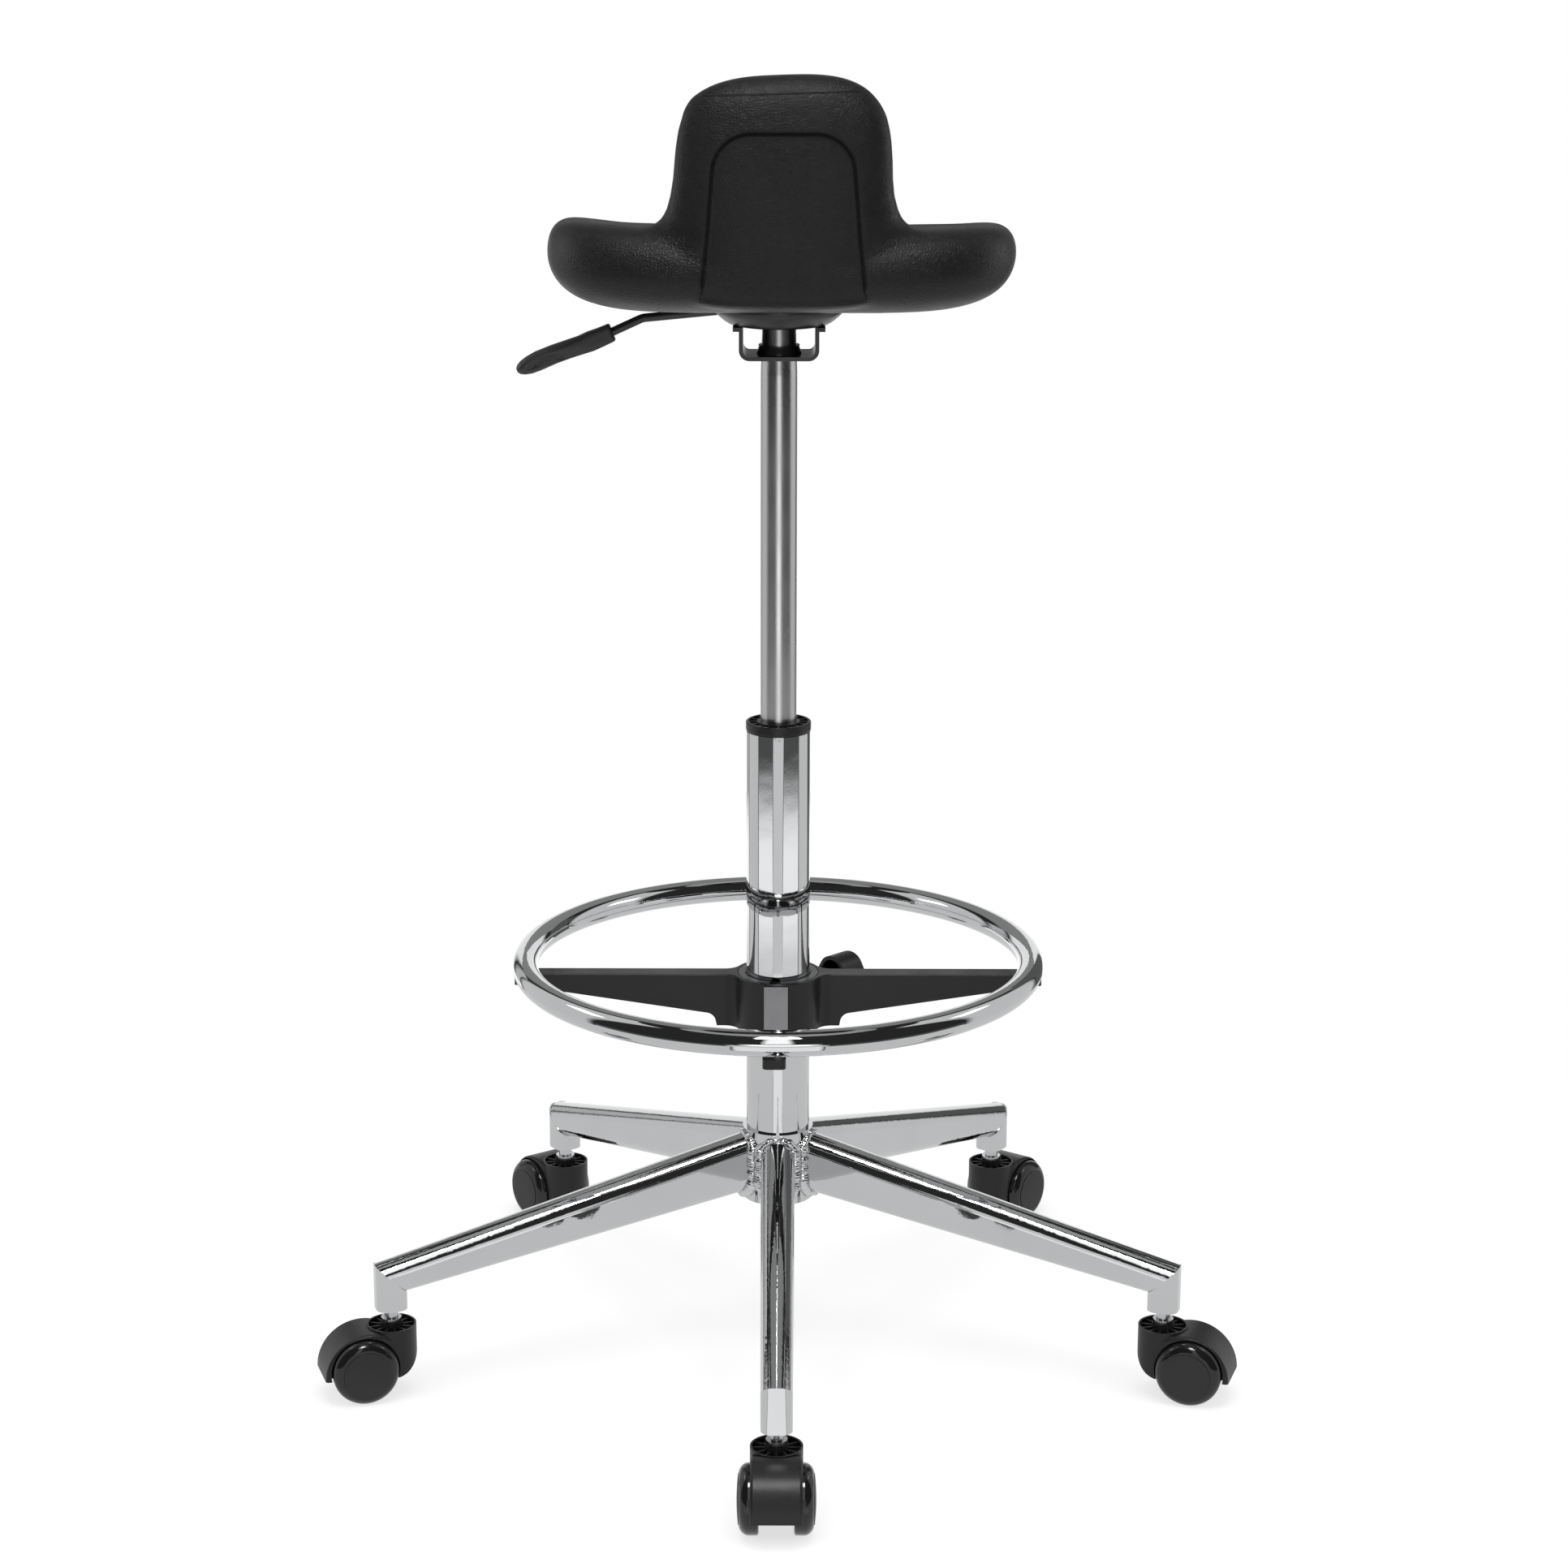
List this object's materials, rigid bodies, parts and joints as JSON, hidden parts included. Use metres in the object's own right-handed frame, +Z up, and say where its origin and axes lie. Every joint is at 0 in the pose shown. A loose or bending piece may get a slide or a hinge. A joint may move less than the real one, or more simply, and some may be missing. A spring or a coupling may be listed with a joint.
{
  "type": "drafting chair",
  "caption": "Armless drafting chair: foam seat with a short back, lever-released gas lift, height-adjustable foot ring and a star base on twin-wheel casters.",
  "frame": {"origin": "on the floor, at the axis of the column", "axes": "+Z up along the column; -Y towards the side of the short back, along one arm of the base; +X to the right of someone who stands behind the seat; the release lever is on the -X side"},
  "size_m": [0.723, 0.6878, 1.0195],
  "materials": {
    "chromed_steel": "polished",
    "black_nylon": "satin",
    "caster_nylon": "gloss",
    "wheel_nylon": "gloss",
    "plated_steel": "brushed",
    "ground_steel": "polished",
    "rubber": "matte",
    "polished_steel": "polished",
    "grey_acetal": "satin",
    "white_acetal": "satin",
    "brass": "polished",
    "black_painted_steel": "satin",
    "plywood": "matte",
    "polyurethane_foam": "satin"
  },
  "bodies": {
    "base": {"base_hub": "chromed_steel", "base_arm_1": "chromed_steel", "base_arm_2": "chromed_steel", "base_arm_3": "chromed_steel", "base_arm_4": "chromed_steel", "base_arm_5": "chromed_steel", "arm_sockets": "chromed_steel", "stem_bushes": "plated_steel", "caster_stems": "plated_steel", "column_tube": "chromed_steel", "ring_stop": "black_nylon", "guide_bush": "black_nylon", "column_end_plate": "plated_steel", "thrust_bearing": "plated_steel"},
    "piston": {"piston_rod": "ground_steel", "bearing_top_race": "plated_steel", "rod_bumper": "rubber", "rod_clip": "plated_steel"},
    "seat": {"gas_cylinder": "polished_steel", "cylinder_end_guide": "grey_acetal", "cone_bracket": "black_painted_steel", "cone_collar": "black_painted_steel", "neck_ring": "black_painted_steel", "mechanism_dish": "black_painted_steel", "seat_plate": "black_painted_steel", "seat_screws": "plated_steel", "seat_board": "plywood", "lever_clip": "black_painted_steel", "seat_foam": "polyurethane_foam"},
    "valve": {"valve_button": "white_acetal"},
    "lever": {"release_lever": "black_painted_steel", "lever_handle": "black_nylon"},
    "ring_liner": {"ring_sleeve": "grey_acetal"},
    "foot_ring": {"foot_ring": "chromed_steel", "ring_screws": "plated_steel", "ring_spider": "black_nylon", "clamp_insert": "brass"},
    "clamp": {"clamp_screw": "plated_steel", "clamp_knob": "black_nylon"},
    "caster_1": {"caster_hood_1": "caster_nylon", "caster_axle_1": "plated_steel"},
    "wheel_left_1": {"caster_wheel_left_1": "wheel_nylon"},
    "wheel_right_1": {"caster_wheel_right_1": "wheel_nylon"},
    "caster_2": {"caster_hood_2": "caster_nylon", "caster_axle_2": "plated_steel"},
    "wheel_left_2": {"caster_wheel_left_2": "wheel_nylon"},
    "wheel_right_2": {"caster_wheel_right_2": "wheel_nylon"},
    "caster_3": {"caster_hood_3": "caster_nylon", "caster_axle_3": "plated_steel"},
    "wheel_left_3": {"caster_wheel_left_3": "wheel_nylon"},
    "wheel_right_3": {"caster_wheel_right_3": "wheel_nylon"},
    "caster_4": {"caster_hood_4": "caster_nylon", "caster_axle_4": "plated_steel"},
    "wheel_left_4": {"caster_wheel_left_4": "wheel_nylon"},
    "wheel_right_4": {"caster_wheel_right_4": "wheel_nylon"},
    "caster_5": {"caster_hood_5": "caster_nylon", "caster_axle_5": "plated_steel"},
    "wheel_left_5": {"caster_wheel_left_5": "wheel_nylon"},
    "wheel_right_5": {"caster_wheel_right_5": "wheel_nylon"}
  },
  "joints": [
    {"name": "piston_turn", "type": "hinge", "parent": "base", "child": "piston", "pos_m": [0, 0, 0.13], "axis": [0, 0, 1], "continuous": true},
    {"name": "seat_lift", "type": "slide", "parent": "piston", "child": "seat", "axis": [0, 0, 1], "range_m": [-0.265, 0]},
    {"name": "lever_tilt", "type": "hinge", "parent": "seat", "child": "lever", "pos_m": [-0.036, 0, 0.8376], "axis": [0, 1, 0], "range_deg": [0, 3.3], "stiffness_Nm_per_rad": 2.5, "springref_deg": -3.44},
    {"name": "valve_press", "type": "slide", "parent": "seat", "child": "valve", "axis": [0, 0, 1], "range_m": [-0.003, 0], "stiffness_N_per_m": 300, "springref_m": 0.001},
    {"name": "ring_height", "type": "slide", "parent": "base", "child": "ring_liner", "axis": [0, 0, 1], "range_m": [-0.016, 0.18]},
    {"name": "ring_turn", "type": "hinge", "parent": "ring_liner", "child": "foot_ring", "pos_m": [0, 0, 0.2927], "axis": [0, 0, 1], "continuous": true},
    {"name": "clamp_turn", "type": "hinge", "parent": "foot_ring", "child": "clamp", "pos_m": [0.04101, 0.04101, 0.29275], "axis": [0.7071, 0.7071, 0], "range_deg": [0, 270]},
    {"name": "caster_swivel_1", "type": "hinge", "parent": "base", "child": "caster_1", "pos_m": [0, -0.318, 0.058], "axis": [0, 0, 1], "continuous": true},
    {"name": "wheel_left_1_roll", "type": "hinge", "parent": "caster_1", "child": "wheel_left_1", "pos_m": [0, -0.343, 0.026], "axis": [1, 0, 0], "continuous": true},
    {"name": "wheel_right_1_roll", "type": "hinge", "parent": "caster_1", "child": "wheel_right_1", "pos_m": [0, -0.343, 0.026], "axis": [1, 0, 0], "continuous": true},
    {"name": "caster_swivel_2", "type": "hinge", "parent": "base", "child": "caster_2", "pos_m": [0.30244, -0.09827, 0.058], "axis": [0, 0, 1], "continuous": true},
    {"name": "wheel_left_2_roll", "type": "hinge", "parent": "caster_2", "child": "wheel_left_2", "pos_m": [0.32621, -0.10599, 0.026], "axis": [0.309, 0.9511, 0], "continuous": true},
    {"name": "wheel_right_2_roll", "type": "hinge", "parent": "caster_2", "child": "wheel_right_2", "pos_m": [0.32621, -0.10599, 0.026], "axis": [0.309, 0.9511, 0], "continuous": true},
    {"name": "caster_swivel_3", "type": "hinge", "parent": "base", "child": "caster_3", "pos_m": [0.18692, 0.25727, 0.058], "axis": [0, 0, 1], "continuous": true},
    {"name": "wheel_left_3_roll", "type": "hinge", "parent": "caster_3", "child": "wheel_left_3", "pos_m": [0.20161, 0.27749, 0.026], "axis": [-0.809, 0.5878, 0], "continuous": true},
    {"name": "wheel_right_3_roll", "type": "hinge", "parent": "caster_3", "child": "wheel_right_3", "pos_m": [0.20161, 0.27749, 0.026], "axis": [-0.809, 0.5878, 0], "continuous": true},
    {"name": "caster_swivel_4", "type": "hinge", "parent": "base", "child": "caster_4", "pos_m": [-0.18692, 0.25727, 0.058], "axis": [0, 0, 1], "continuous": true},
    {"name": "wheel_left_4_roll", "type": "hinge", "parent": "caster_4", "child": "wheel_left_4", "pos_m": [-0.20161, 0.27749, 0.026], "axis": [-0.809, -0.5878, 0], "continuous": true},
    {"name": "wheel_right_4_roll", "type": "hinge", "parent": "caster_4", "child": "wheel_right_4", "pos_m": [-0.20161, 0.27749, 0.026], "axis": [-0.809, -0.5878, 0], "continuous": true},
    {"name": "caster_swivel_5", "type": "hinge", "parent": "base", "child": "caster_5", "pos_m": [-0.30244, -0.09827, 0.058], "axis": [0, 0, 1], "continuous": true},
    {"name": "wheel_left_5_roll", "type": "hinge", "parent": "caster_5", "child": "wheel_left_5", "pos_m": [-0.32621, -0.10599, 0.026], "axis": [0.309, -0.9511, 0], "continuous": true},
    {"name": "wheel_right_5_roll", "type": "hinge", "parent": "caster_5", "child": "wheel_right_5", "pos_m": [-0.32621, -0.10599, 0.026], "axis": [0.309, -0.9511, 0], "continuous": true}
  ],
  "couplings": [
    {"joint": "valve_press", "follows": "lever_tilt", "m_per_rad": -0.04}
  ]
}
